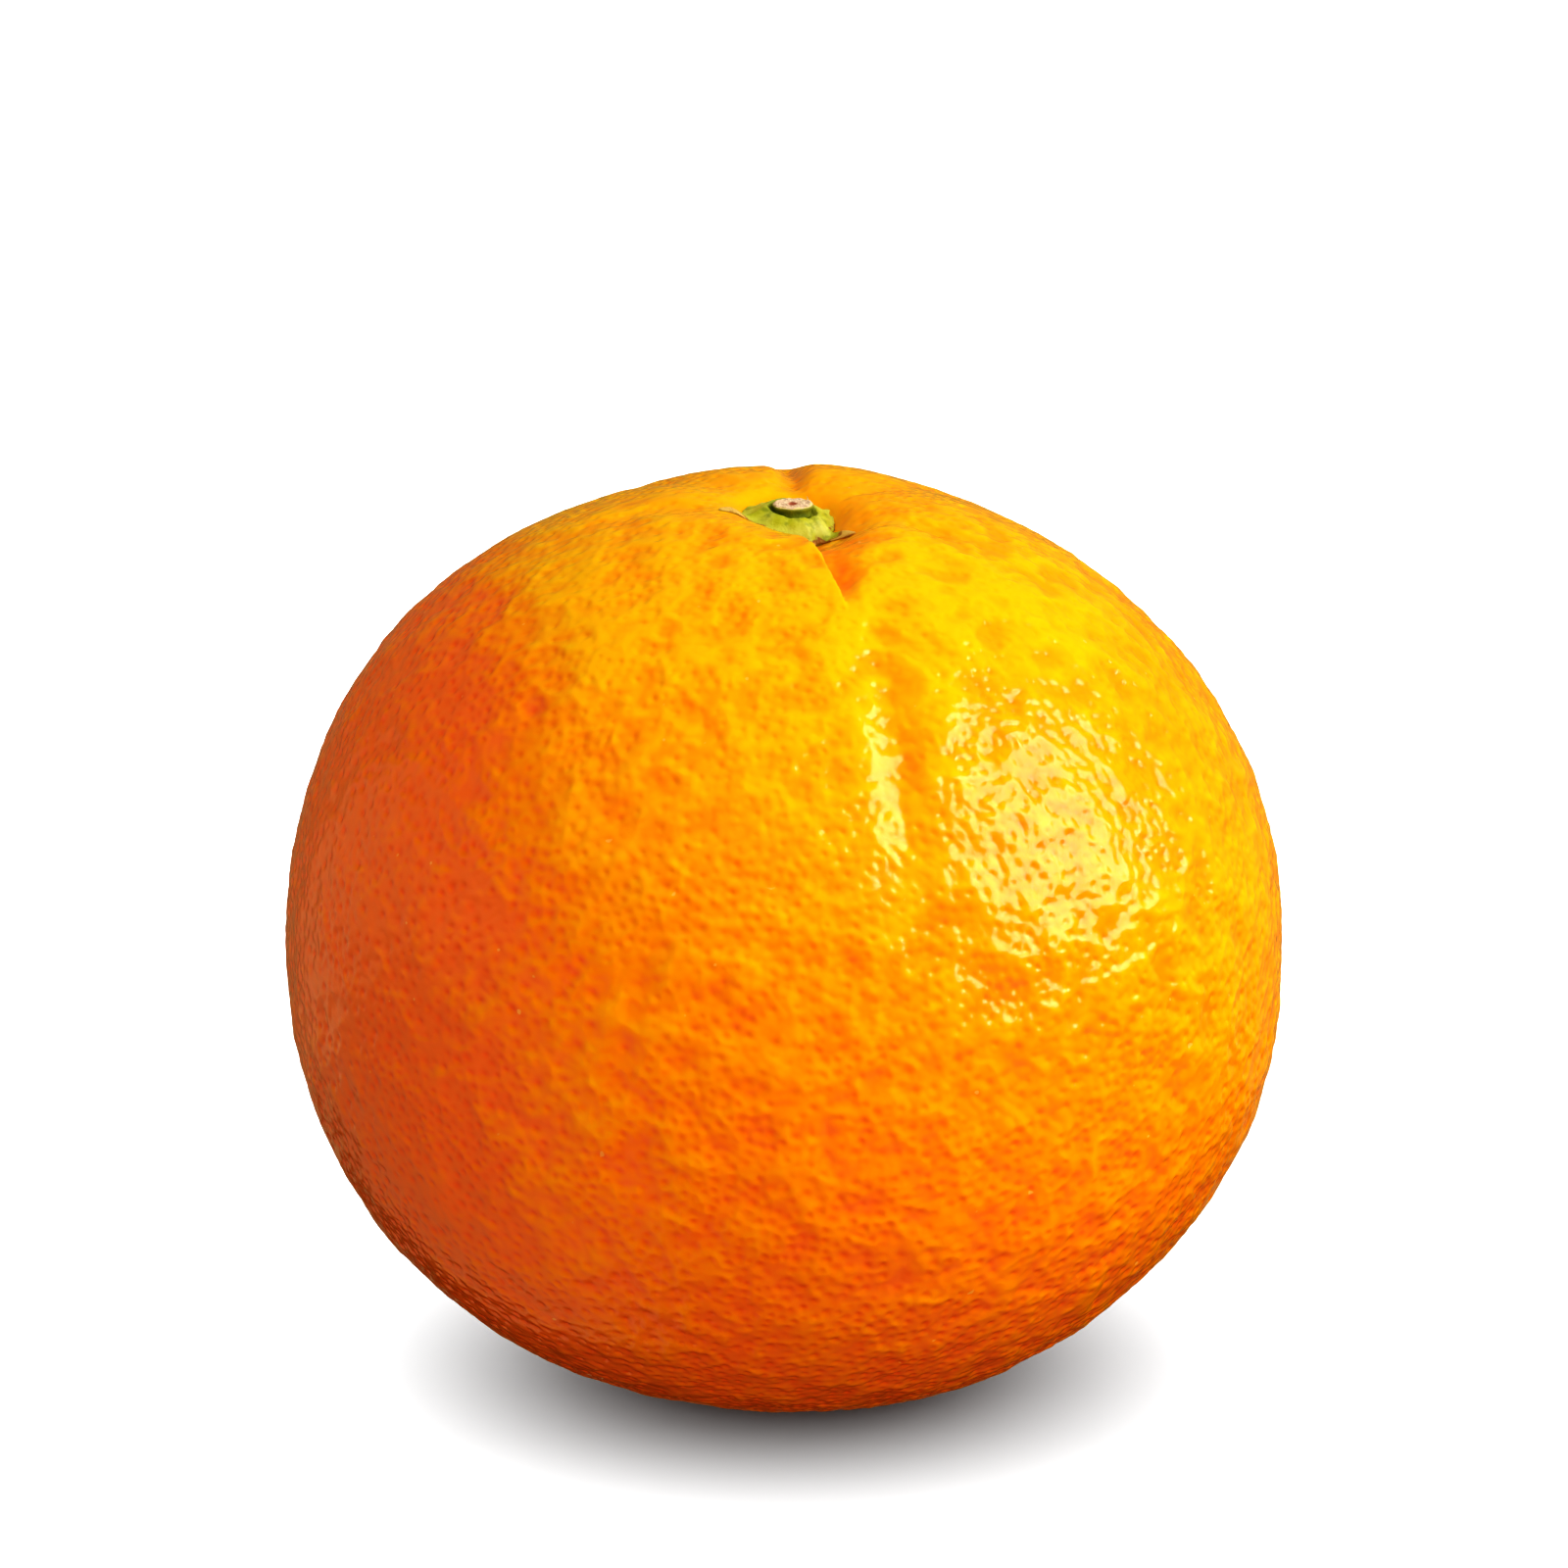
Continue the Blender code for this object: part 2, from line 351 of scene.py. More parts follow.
# roughest at the front, calmer round the button and calmest on the crown behind it
roughest_way = np.array([0.35, -0.80, 0.48])
rugged = 0.86 + 0.42 * (ways @ roughest_way)
rugged *= 0.5 + 0.5 * eased((polar - 8) / 10)
behind_crown = eased((ways[:, 1] + 0.1) / 0.3) * eased((ways[:, 2] - 0.7) / 0.15)
rugged *= 1 - 0.6 * behind_crown
clear_of_button = eased((polar - 6) / 2.5)
pebbles = ((rolls + knobs + ridges + valleys + grain) * rugged + wrinkles) * clear_of_button
print("pebbling reaches", round(float(np.abs(pebbles).max()), 3), "mm")

# %% [markdown]
# ## Oil glands
#
# An orange's skin holds more than ten thousand oil glands. Over each one it sinks into a pore in a wide
# shallow bowl. Glands are neither in rows nor quite random: each keeps its distance from the next, and
# they differ in size. Scattering points and then letting near ones push each other apart gives that
# spacing. Blender's Voronoi texture could draw pores in a material, but real dents catch the light
# properly and show in the mesh too.

# %% Scatter the glands and push them apart
gland_spacing = 1.25 * mm
mean_radius = 0.965 * half_width
# packed closely, each gland takes this share of a square as wide as the spacing
packing = 0.87
gland_count = int(4 * math.pi * mean_radius**2 / (packing * gland_spacing**2))
random = np.random.default_rng(7)
glands = random.normal(size=(gland_count, 3))
glands /= np.linalg.norm(glands, axis=1, keepdims=True)


def tree_of(points):
    """A KD-tree, which finds near points quickly."""
    tree = KDTree(len(points))
    for number, point in enumerate(points):
        tree.insert(point, number)
    tree.balance()
    return tree


reach = gland_spacing / half_width * 1.1
for _ in range(4):
    tree = tree_of(glands)
    pushed = glands.copy()
    for number, gland in enumerate(glands):
        for place, _other, away in tree.find_n(gland, 7)[1:]:
            if away < reach:
                pushed[number] += (gland - place) * (reach - away) / (away + 1e-6) * 0.3
    glands = pushed / np.linalg.norm(pushed, axis=1, keepdims=True)
gland_size = random.uniform(0.75, 1.3, gland_count)
gland_strength = random.uniform(0.4, 1.0, gland_count)
print("glands:", gland_count)

# %% Sink a pore over each gland
# depths and widths in mm
pore_depth, pore_width = 0.075, 0.24
bowl_depth, bowl_width = 0.05, 0.5
gland_tree = tree_of(glands)
nearest = np.empty(len(ways), int)
away = np.empty(len(ways))
for number, way in enumerate(ways.tolist()):
    _place, nearest[number], away[number] = gland_tree.find(way)
away_mm = away * smooth_radius / mm / gland_size[nearest]
strength = gland_strength[nearest]
pore = pore_depth * np.exp(-((away_mm / pore_width) ** 2))
bowl = bowl_depth * np.exp(-((away_mm / bowl_width) ** 2))
dents = -(pore + bowl) * strength * clear_of_button
print("pores are up to", round(float(-dents.min()), 3), "mm deep")

# %% [markdown]
# ## Put the skin together
#
# The smooth form, the pebbling and the pores add up to one radius for each point of the net. Below, the
# fruit has worn flat where it rests. Cutting it with a plane would leave a hard edge, so a soft floor
# function bends the lowest skin level instead. At the blossom end, in the middle of the flat spot, a small
# round scar is left from the flower's style.
#
# Some of what was worked out is stored on the points, so that the finish can use it: how deep in a gland a
# point is, how deep in a hollow or a crease, and how red the skin is painted there, which is partly ripeness
# and partly painted light and shade. The underside and the left cheek are painted redder, partly as a ripe
# blush and partly as painted shade away from the lamps. The crown is painted yellower, partly as paler
# peel and partly as painted light from above. On each small bump, too, the slope that leans away from the
# lamps, towards the lower left, is painted a little redder as painted shade. Hollows and creases are painted
# redder as painted shade.

# %% Shape the peel
radius = smooth_radius + (pebbles + dents) * mm
skin = middle + ways * radius[:, None]
flat_softness = 0.25 * mm
scar_radius, scar_depth = 1.5 * mm, 0.35 * mm
far_away = 1.0
lift = flat_softness * np.logaddexp(0, skin[:, 2] / flat_softness)
skin[:, 2] = np.where(skin[:, 2] < 8 * flat_softness, lift, skin[:, 2])
from_scar = np.where(polar > 150, np.hypot(skin[:, 0], skin[:, 1]), far_away)
scar = np.exp(-((from_scar / scar_radius) ** 4))
skin[:, 2] += scar_depth * scar
peel_mesh.vertices.foreach_set("co", skin.astype(np.float32).ravel())
peel_mesh.polygons.foreach_set("use_smooth", np.ones(len(peel_mesh.polygons), bool))
peel_mesh.update()
print("lowest skin:", round(float(skin[:, 2].min()) * 1000, 2), "mm")

# %% Measure how the skin leans
most_lean = 0.3
leans = np.empty(len(peel_mesh.vertices) * 3, np.float32)
peel_mesh.vertex_normals.foreach_get("vector", leans)
leans = leans.reshape(-1, 3) - ways
lean_size = np.linalg.norm(leans, axis=1, keepdims=True)
leans *= np.minimum(1, most_lean / np.maximum(lean_size, 1e-6))
print("steepest lean:", round(float(lean_size.max()), 2), "kept below", most_lean)

# %% Say how deep each point is, and how ripe and how shaded it is painted
# painted light and shade: the skin is painted redder towards the lower left, away from the key light and the
# lamp above, and yellower towards the lit upper right; this is partly ripening and partly painted light
redder_and_shaded_way = np.array([-0.32, 0.0, -0.80])
# how deep each point lies in a hollow, which the finish paints redder as painted shade; on top, where the
# slopes face the light alike, that painted shade is made stronger
on_top = eased((ways[:, 2] - 0.6) / 0.3)
fine_relief = 0.4 * rolls + knobs + ridges + 0.7 * valleys
hollow = np.clip(-fine_relief / 0.12, -1, 1) * rugged
hollow *= 1 + 0.9 * on_top
in_crease = np.clip(crease_depth(polar, azimuth, smooth_radius) / (1.3 * mm), 0, 1) ** 2
patchy = 0.07 * hills(smooth_points, 13 * mm, 8)
# the crown is painted yellower, partly as paler peel and partly as painted light from the lamps above; the
# left cheek is painted redder, partly as a ripe blush and partly as painted shade away from the key light
crown = eased((ways[:, 2] + patchy - 0.66) / 0.28)
cheek = eased((patchy - ways[:, 0] - 0.3) / 0.42) * eased((0.9 - ways[:, 1]) / 0.9)
# painted shade: the upper right shoulder, where the key light falls strongest, is painted redder to tone
# that light down
right_shoulder = eased((ways[:, 0] - 0.2) / 0.3) * eased((ways[:, 2] - 0.25) / 0.3)
broad_ripeness_and_shade = 0.5 + 0.5 * (ways @ redder_and_shaded_way) - 0.4 * crown * (1 - in_crease)
broad_ripeness_and_shade += cheek * (0.28 + 0.4 * ways[:, 2]) + 0.15 * right_shoulder
least_ripeness_and_shade = 0.14
broad_ripeness_and_shade = np.maximum(broad_ripeness_and_shade, least_ripeness_and_shade)
# painted shade: on each small bump the slope that leans away from the lamps, towards the lower left, is
# painted redder
ripeness_and_shade = broad_ripeness_and_shade + 0.9 * (leans @ redder_and_shaded_way)
print("ripeness runs up to", round(float(broad_ripeness_and_shade.max()), 2))

# %% Store what the finish needs
def store(mesh, name, values):
    """Keeps a number for each point, which a material can read."""
    layer = mesh.attributes.new(name, "FLOAT", "POINT")
    layer.data.foreach_set("value", values.astype(np.float32))


store(peel_mesh, "ripeness_and_shade", ripeness_and_shade)
store(peel_mesh, "hollow", hollow)
store(peel_mesh, "in_crease", in_crease)
# a gland shows as a dot only where the broad colour is redder, so on the yellower top and right, which are
# partly painted light, the dots fade
showing = 0.05 + 0.95 * eased((broad_ripeness_and_shade - 0.3) / 0.3)
store(peel_mesh, "gland", np.exp(-((away_mm / 0.40) ** 2)) * strength * showing)
store(peel_mesh, "scar", scar)
peel = bpy.data.objects.new("peel", peel_mesh)
bpy.context.scene.collection.objects.link(peel)
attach(peel, "root")
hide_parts("fruit")
print("peel has", len(peel_mesh.attributes), "attributes")

# %% [markdown]
# ## The peel's finish
#
# Ripe peel is a thin coloured skin over white pith, waxed by the plant to a soft gloss. Its hue runs from
# yellow-orange to red-orange, partly from ripening and partly as painted light. The top and the right, where
# the lamps fall, are painted yellower. The lower left, the hollows and the creases, which lie in shade,
# are painted redder as painted shade. Each gland shows through as a slightly darker, redder dot. A flat
# colour with a bump could not show that. Here the colour is mixed from the numbers stored on the skin, with
# broad random blotches so that the change is never even. A few pale specks are partly wax spots and partly
# painted glints. A little light is let into the skin, as in the real thing, and the gloss is left uneven.

# %% Helpers for reading numbers in a finish
def finish_named(name):
    """A new material, its nodes, its links and its shader."""
    made = bpy.data.materials.new(name)
    made.use_nodes = True
    tree = made.node_tree
    return made, tree.nodes, tree.links, tree.nodes["Principled BSDF"]


def stored(nodes, name):
    """Reads a number stored on the points."""
    node = nodes.new("ShaderNodeAttribute")
    node.attribute_name = name
    return node.outputs["Fac"]


def blotches(nodes, links, size, detail=2.0, stretch=None):
    """Soft random blotches of a size in metres, from 0 to 1."""
    place = nodes.new("ShaderNodeTexCoord").outputs["Object"]
    if stretch:
        mapping = nodes.new("ShaderNodeMapping")
        mapping.inputs["Scale"].default_value = stretch
        links.new(place, mapping.inputs["Vector"])
        place = mapping.outputs["Vector"]
    noise = nodes.new("ShaderNodeTexNoise")
    noise.inputs["Scale"].default_value = 1 / size
    noise.inputs["Detail"].default_value = detail
    links.new(place, noise.inputs["Vector"])
    return noise.outputs["Fac"]


def spread(nodes, links, value, low, high, to_low=0.0, to_high=1.0):
    """Stretches the range low..high of a value to another range."""
    node = nodes.new("ShaderNodeMapRange")
    for name, number in (("From Min", low), ("From Max", high), ("To Min", to_low), ("To Max", to_high)):
        node.inputs[name].default_value = number
    links.new(value, node.inputs["Value"])
    return node.outputs["Result"]


print("a finish can read stored numbers and blotches")

# %% Helpers for mixing colours
def sum_of(nodes, links, value, other):
    """Adds two values."""
    node = nodes.new("ShaderNodeMath")
    links.new(value, node.inputs[0])
    links.new(other, node.inputs[1])
    return node.outputs["Value"]


def mixed(nodes, links, share, under, over, blend="MIX"):
    """Lays one colour over another by a share; each is a colour or an output."""
    node = nodes.new("ShaderNodeMix")
    node.data_type = "RGBA"
    node.blend_type = blend
    links.new(share, node.inputs["Factor"])
    for name, colour in (("A", under), ("B", over)):
        socket = next(i for i in node.inputs if i.name == name and i.type == "RGBA")
        if isinstance(colour, tuple):
            socket.default_value = (*colour, 1)
        else:
            links.new(colour, socket)
    return next(o for o in node.outputs if o.type == "RGBA")


def bumped(nodes, links, shader, height, depth):
    """Roughens the shading with a height from 0 to 1, as deep as given in metres."""
    bump = nodes.new("ShaderNodeBump")
    bump.inputs["Distance"].default_value = depth
    links.new(height, bump.inputs["Height"])
    links.new(bump.outputs["Normal"], shader.inputs["Normal"])


print("and mix colours from them")

# %% Mix the peel's colour and gloss
# the yellow end is partly less ripe peel and partly painted light on the lit top and right; the red end is
# partly riper peel and partly painted shade on the lower left, in the hollows and in the creases
less_ripe_and_lit_yellow = (0.85, 0.475, 0.001)
middle_orange = (0.85, 0.31, 0.002)
riper_and_shaded_red = (0.85, 0.21, 0.04)
gland_tint = (0.98, 0.71, 0.6)
scar_brown = (0.28, 0.13, 0.04)
wax_speck_and_glint_cream = (0.9, 0.55, 0.15)

peel_finish, nodes, links, shader = finish_named("peel_skin")
# painted shade: the hollows are painted redder and the knobs yellower
hollow_painted_shade = spread(nodes, links, stored(nodes, "hollow"), -1, 1, -0.18, 0.18)
patch_red = spread(nodes, links, blotches(nodes, links, 16 * mm), 0.3, 0.7, -0.03, 0.03)
# painted shade: the creases are painted redder
crease_painted_shade = spread(nodes, links, stored(nodes, "in_crease"), 0, 1, 0.0, 0.36)
# the stored ripeness and painted shade, with the painted shade of the hollows and creases and a little
# random blotching added
ripe_and_shaded = stored(nodes, "ripeness_and_shade")
for reddening_and_shade in (hollow_painted_shade, crease_painted_shade, patch_red):
    ripe_and_shaded = sum_of(nodes, links, ripe_and_shaded, reddening_and_shade)
colour = mixed(nodes, links, spread(nodes, links, ripe_and_shaded, 0.0, 0.5), less_ripe_and_lit_yellow, middle_orange)
colour = mixed(nodes, links, spread(nodes, links, ripe_and_shaded, 0.5, 0.85), colour, riper_and_shaded_red)
colour = mixed(nodes, links, stored(nodes, "gland"), colour, gland_tint, "MULTIPLY")
# pale cream specks, partly wax spots and partly painted glints
wax_speck_and_glint = spread(nodes, links, blotches(nodes, links, 0.8 * mm, 0.0), 0.855, 0.885, 0.0, 0.6)
colour = mixed(nodes, links, wax_speck_and_glint, colour, wax_speck_and_glint_cream)
colour = mixed(nodes, links, stored(nodes, "scar"), colour, scar_brown)
links.new(colour, shader.inputs["Base Color"])
gloss = spread(nodes, links, blotches(nodes, links, 2.5 * mm), 0.3, 0.7, 0.09, 0.15)
links.new(gloss, shader.inputs["Roughness"])
bumped(nodes, links, shader, blotches(nodes, links, 0.5 * mm), 0.015 * mm)
shader.inputs["Subsurface Weight"].default_value = 0.35
shader.inputs["Subsurface Radius"].default_value = (1.0, 0.3, 0.08)
shader.inputs["Subsurface Scale"].default_value = 1.3 * mm
peel_mesh.materials.clear()
peel_mesh.materials.append(peel_finish)
print("peel finish has", len(nodes), "nodes")

# %% [markdown]
# ## The button
#
# The button is the calyx that held the flower. Its five sepals have grown together into a fleshy dome round
# the stem, with furrows where they met, and only their tips are free: thin, dry and curled. It could be
# sculpted from a disc. Here a globe is pressed flat instead, which gives a closed shape at once: the lower
# half lies on the skin, found with the same radius formula, and the upper half becomes the dome.

# %% The button's outline
button_radius = 3.7 * mm
sepals = ((-163, 6.2), (-68, 4.2), (-36, 6.1), (40, 3.7), (112, 3.95))
sepal_spread = 8
left_reach = 0.35 * mm
sepal_gaps = (-100, -49, 14, 92, 160)


def on_circle(azimuth, radius):
    """Points round a circle, to sample noise along an edge."""
    turn = np.radians(azimuth)
    return np.stack([radius * np.cos(turn), radius * np.sin(turn), np.zeros_like(turn)], axis=1)


def button_edge(azimuth):
    """The outline: a ragged disc with five tips."""
    disc = button_radius - left_reach * np.cos(np.radians(azimuth))
    edge = disc.copy()
    for at_azimuth, tip in sepals:
        away = turn_between(azimuth, at_azimuth)
        edge += (tip * mm - disc) * np.exp(-((away / sepal_spread) ** 2))
    ragged = hills(on_circle(azimuth, button_radius), 0.9 * mm, 21)
    nibbled = hills(on_circle(azimuth, button_radius), 0.3 * mm, 22)
    return edge + 0.13 * mm * ragged + 0.05 * mm * nibbled


def skin_height(x, y):
    """The smooth skin's height over places near the stem end."""
    out = np.hypot(x, y)
    azimuth = np.degrees(np.arctan2(y, x))
    polar = np.degrees(np.arctan2(out, height_above))
    for _ in range(8):
        radius = skin_radius(toward(polar, azimuth))
        polar = np.degrees(np.arcsin(np.clip(out / radius, 0, 1)))
    return middle[2] + radius * np.cos(np.radians(polar))


print("tips reach", [tip for _azimuth, tip in sepals], "mm")

# %% The button's dome
dome_foot, crest_out = 4.0 * mm, 2.05 * mm
crest_z, crest_lean, lean_azimuth = middle[2] + 36.22 * mm, 0.33 * mm, 150
hollow_z = stub_low[2] - 0.3 * mm
stub_radius = (stub_high[0] - stub_low[0]) / 2
tip_thickness = 0.16 * mm


def button_top(out, azimuth, under):
    """Thin tips, a dome and the hollow that the stem comes out of."""
    thin = under + tip_thickness
    crest = crest_z + crest_lean * np.cos(np.radians(azimuth - lean_azimuth))
    foot = dome_foot - left_reach * np.cos(np.radians(azimuth))
    up_dome = np.clip((foot - out) / (foot - crest_out), 0, 1)
    top = thin + (crest - thin) * np.sin(math.pi / 2 * up_dome)
    inside = eased((crest_out - out) / (crest_out - 0.98 * stub_radius))
    return top + (hollow_z - top) * inside


def sepal_relief(out, azimuth):
    """Keels along the sepals, furrows between them and lumps in the flesh."""
    on_dome = eased((out - 1.7 * mm) / (0.5 * mm))
    relief = np.zeros_like(out)
    for at_azimuth, _tip in sepals:
        relief += 0.10 * np.exp(-((turn_between(azimuth, at_azimuth) / 12) ** 2))
    for at_azimuth in sepal_gaps:
        relief -= 0.08 * np.exp(-((turn_between(azimuth, at_azimuth) / 8) ** 2))
    flat = on_circle(azimuth, 1.0) * out[:, None]
    lumps = 0.10 * hills(flat, 1.3 * mm, 23) + 0.03 * hills(flat, 0.5 * mm, 24)
    return (relief + lumps) * on_dome * mm


print("crest stands", round((crest_z - middle[2]) * 1000, 2), "mm above the middle")

# %% Press a globe flat into the button
def globe(across, down):
    """A fine globe as a mesh: rings of points between two poles, always in the same order."""
    polar = np.repeat(180 * np.arange(1, down) / down, across)
    azimuth = np.tile(360 * np.arange(across) / across, down - 1)
    points = [*toward(polar, azimuth), (0, 0, 1), (0, 0, -1)]
    top, bottom = len(points) - 2, len(points) - 1
    last = (down - 2) * across
    faces = []
    for here in range(across):
        beside = (here + 1) % across
        faces.append((top, here, beside))
        for ring in range(0, last, across):
            lower = ring + across
            faces.append((ring + here, lower + here, lower + beside, ring + beside))
        faces.append((last + here, bottom, last + beside))
    mesh = bpy.data.meshes.new("globe")
    mesh.from_pydata(points, [], faces)
    return mesh


button_mesh = globe(288, 112)
button_mesh.name = "calyx_button"
ball_polar, ball_azimuth = angles_of(places_of(button_mesh))
edge = button_edge(ball_azimuth)
out = edge * np.minimum(ball_polar, 180 - ball_polar) / 90
turn = np.radians(ball_azimuth)
x, y = stem_x + out * np.cos(turn), out * np.sin(turn)
under = skin_height(x, y) + 0.03 * mm
top = button_top(out, ball_azimuth, under) + sepal_relief(out, ball_azimuth)
at_tip = eased((out - 3.9 * mm) / (1.2 * mm))
curl = at_tip * (0.02 + 0.07 * hills(on_circle(ball_azimuth, 1.0) * out[:, None], 0.8 * mm, 25)) * mm
near_edge = np.sqrt(np.clip(1 - (out / edge) ** 6, 0, 1))
thickness = np.maximum(top - under, 0.05 * mm) * near_edge
height = np.where(ball_polar < 90, under + curl + thickness, under + curl * 0.6)
button_places = np.stack([x, y, height], axis=1)
button_mesh.vertices.foreach_set("co", button_places.astype(np.float32).ravel())
button_mesh.polygons.foreach_set("use_smooth", np.ones(len(button_mesh.polygons), bool))
button_mesh.update()
print("button faces:", len(button_mesh.polygons))

# %% Place the button
brown_band = eased((out / edge - 0.82) / 0.12)
brown_band *= 0.3 + 0.7 * eased((0.3 - np.sin(turn)) / 0.6)
store(button_mesh, "dry", np.clip(at_tip * 1.2 + 0.55 * brown_band, 0, 1))
# painted shade: a deep green ring round the stub's foot, where the hollow lies in shade, stronger on the
# left, away from the key light
moat_shade = np.exp(-(((out - 1.75 * mm) / (0.28 * mm)) ** 2))
store(button_mesh, "moat_shade", moat_shade * (0.65 - 0.35 * np.cos(turn)))
button = bpy.data.objects.new("calyx_button", button_mesh)
bpy.context.scene.collection.objects.link(button)
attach(button, "root")
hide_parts("calyx")
print("button top at", round(float(button_places[:, 2].max()) * 1000, 2), "mm")

# %% [markdown]
# ### The button's finish
#
# Living sepal is a bright yellow-green flesh with darker patches, a little waxy. Where it meets the peel it
# has died back to a brown line, and the free tips are dry and straw-coloured. The colour could be painted
# by hand. The outline is already known as a number on each point, so the brown line and the dry tips are
# mixed in from that number, broken up by random blotches. A ring of painted shade is laid round the stub's
# foot, where the hollow lies in shade, darker on the left.

# %% Mix the button's colours
flesh_green = (0.40, 0.42, 0.02)
pale_green = (0.55, 0.57, 0.12)
deep_green = (0.17, 0.22, 0.012)
margin_brown = (0.30, 0.135, 0.02)
straw = (0.60, 0.42, 0.12)

button_finish, nodes, links, shader = finish_named("sepal_flesh")
patch = spread(nodes, links, blotches(nodes, links, 1.6 * mm, 3.0), 0.38, 0.66)
colour = mixed(nodes, links, patch, flesh_green, pale_green)
shadow_patch = spread(nodes, links, blotches(nodes, links, 0.9 * mm, 4.0), 0.56, 0.72, 0.0, 0.7)
colour = mixed(nodes, links, shadow_patch, colour, deep_green)
# painted shade in the hollow round the stub
colour = mixed(nodes, links, stored(nodes, "moat_shade"), colour, deep_green)
worn = spread(nodes, links, blotches(nodes, links, 0.5 * mm, 3.0), 0.3, 0.7, -0.28, 0.28)
dryness = sum_of(nodes, links, stored(nodes, "dry"), worn)
colour = mixed(nodes, links, spread(nodes, links, dryness, 0.35, 0.55), colour, margin_brown)
colour = mixed(nodes, links, spread(nodes, links, dryness, 0.7, 0.95), colour, straw)
links.new(colour, shader.inputs["Base Color"])
links.new(spread(nodes, links, dryness, 0.2, 0.8, 0.42, 0.75), shader.inputs["Roughness"])
bumped(nodes, links, shader, blotches(nodes, links, 0.18 * mm, 3.0), 0.05 * mm)
shader.inputs["Subsurface Weight"].default_value = 0.15
shader.inputs["Subsurface Radius"].default_value = (0.6, 0.8, 0.1)
shader.inputs["Subsurface Scale"].default_value = 0.5 * mm
button_mesh.materials.clear()
button_mesh.materials.append(button_finish)
print("button finish has", len(nodes), "nodes")

# %% [markdown]
# ## The stub of the stem
#
# The stem was snipped off just above the button. The cut is pale wood, rough where the blade crushed it,
# with a reddish pith in the middle and a lip that spreads over the green bark. A turned profile gives the
# round body. The crushed face, the ribs of the bark and the lip's uneven edge are then pushed into the
# points, because they are what tells a cut stem from a peg.

# %% Draw the stub's profile
stub_height = stub_high[2] - stub_low[2]
stub_turns = 128
bark_profile = (
    # share of the radius and share of the height, from the lip down to the foot
    (0.95, 0.98),
    (0.985, 0.93),
    (1.0, 0.85),
    (1.0, 0.76),
    (0.985, 0.66),
    (0.95, 0.54),
    (0.915, 0.40),
    (0.895, 0.24),
    (0.885, 0.08),
    (0.885, -0.10),
    (0.90, -0.30),
)
face_rings = 26
face_line = [(0.93 * stub_radius * ring / face_rings, stub_height) for ring in range(face_rings)]
bark_line = [(stub_radius * out_share, stub_height * up_share) for out_share, up_share in bark_profile]
foot_middle = (0.0, -0.30 * stub_height)
print("profile points:", len(face_line) + len(bark_line) + 1)

# %% Turn it
def turned(name, corners, turns):
    """A profile in the XZ plane turned about the Z axis."""
    line = bmesh.new()
    points = [line.verts.new((out, 0.0, up)) for out, up in corners]
    for upper, lower in zip(points, points[1:]):
        line.edges.new((upper, lower))
    mesh = bpy.data.meshes.new(name)
    line.to_mesh(mesh)
    line.free()
    holder = bpy.data.objects.new(name, mesh)
    bpy.context.scene.collection.objects.link(holder)
    screw = holder.modifiers.new("turned", "SCREW")
    screw.axis = "Z"
    screw.steps = turns
    screw.render_steps = turns
    screw.use_merge_vertices = True
    screw.merge_threshold = 0.000001
    screw.use_normal_calculate = True
    graph = bpy.context.evaluated_depsgraph_get()
    turned_mesh = bpy.data.meshes.new_from_object(holder.evaluated_get(graph))
    bpy.data.objects.remove(holder)
    bpy.data.meshes.remove(mesh)
    turned_mesh.name = name
    return turned_mesh


stub_mesh = turned("stem_stub_cut", face_line + bark_line + [foot_middle], stub_turns)
print("stub:", len(stub_mesh.polygons), "faces,", round(stub_height * 1000, 2), "mm high")

# %% Crush the cut and rib the bark
stub_places = places_of(stub_mesh)
stub_out = np.hypot(stub_places[:, 0], stub_places[:, 1])
stub_azimuth = np.degrees(np.arctan2(stub_places[:, 1], stub_places[:, 0]))
up_share = stub_places[:, 2] / stub_height
out_share = stub_out / stub_radius
on_face = eased((up_share - 0.9) / 0.1)
crushed = 0.06 * hills(stub_places, 0.45 * mm, 31) + 0.035 * hills(stub_places, 0.18 * mm, 32)
pith_pit = -0.10 * np.exp(-((out_share / 0.22) ** 2))
wood_rings = 0.014 * np.cos(out_share * 38 + 2 * hills(stub_places, 0.8 * mm, 33))
lip = 0.05 * np.exp(-(((out_share - 0.86) / 0.08) ** 2))
stub_places[:, 2] += (crushed + pith_pit + wood_rings + lip) * on_face * mm
ribs = hills(on_circle(stub_azimuth, stub_radius), 0.35 * mm, 34)
uneven = hills(on_circle(stub_azimuth, stub_radius), 1.1 * mm, 35)
swell = 1 + (0.018 * ribs + 0.03 * uneven) * eased((out_share - 0.5) / 0.4)
stub_places[:, :2] *= swell[:, None]
stub_places += (stem_x, 0.0, stub_low[2])
stub_mesh.vertices.foreach_set("co", stub_places.astype(np.float32).ravel())
stub_mesh.polygons.foreach_set("use_smooth", np.ones(len(stub_mesh.polygons), bool))
stub_mesh.update()
store(stub_mesh, "cut_face", on_face)
store(stub_mesh, "from_pith", out_share)
stub = bpy.data.objects.new("stem_stub_cut", stub_mesh)
bpy.context.scene.collection.objects.link(stub)
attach(stub, "root")
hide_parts("stem_stub")
print("crushed by up to", round(float(np.abs(crushed).max()), 3), "mm")

# %% [markdown]
# ### Torn fibres
#
# Where the blade left the stem, a few bark fibres tore instead of cutting and stand up from the edge. Hair
# strands would be too fine to export as a mesh. A curve with a bevel, thinner towards its free end, makes
# each fibre a real solid.

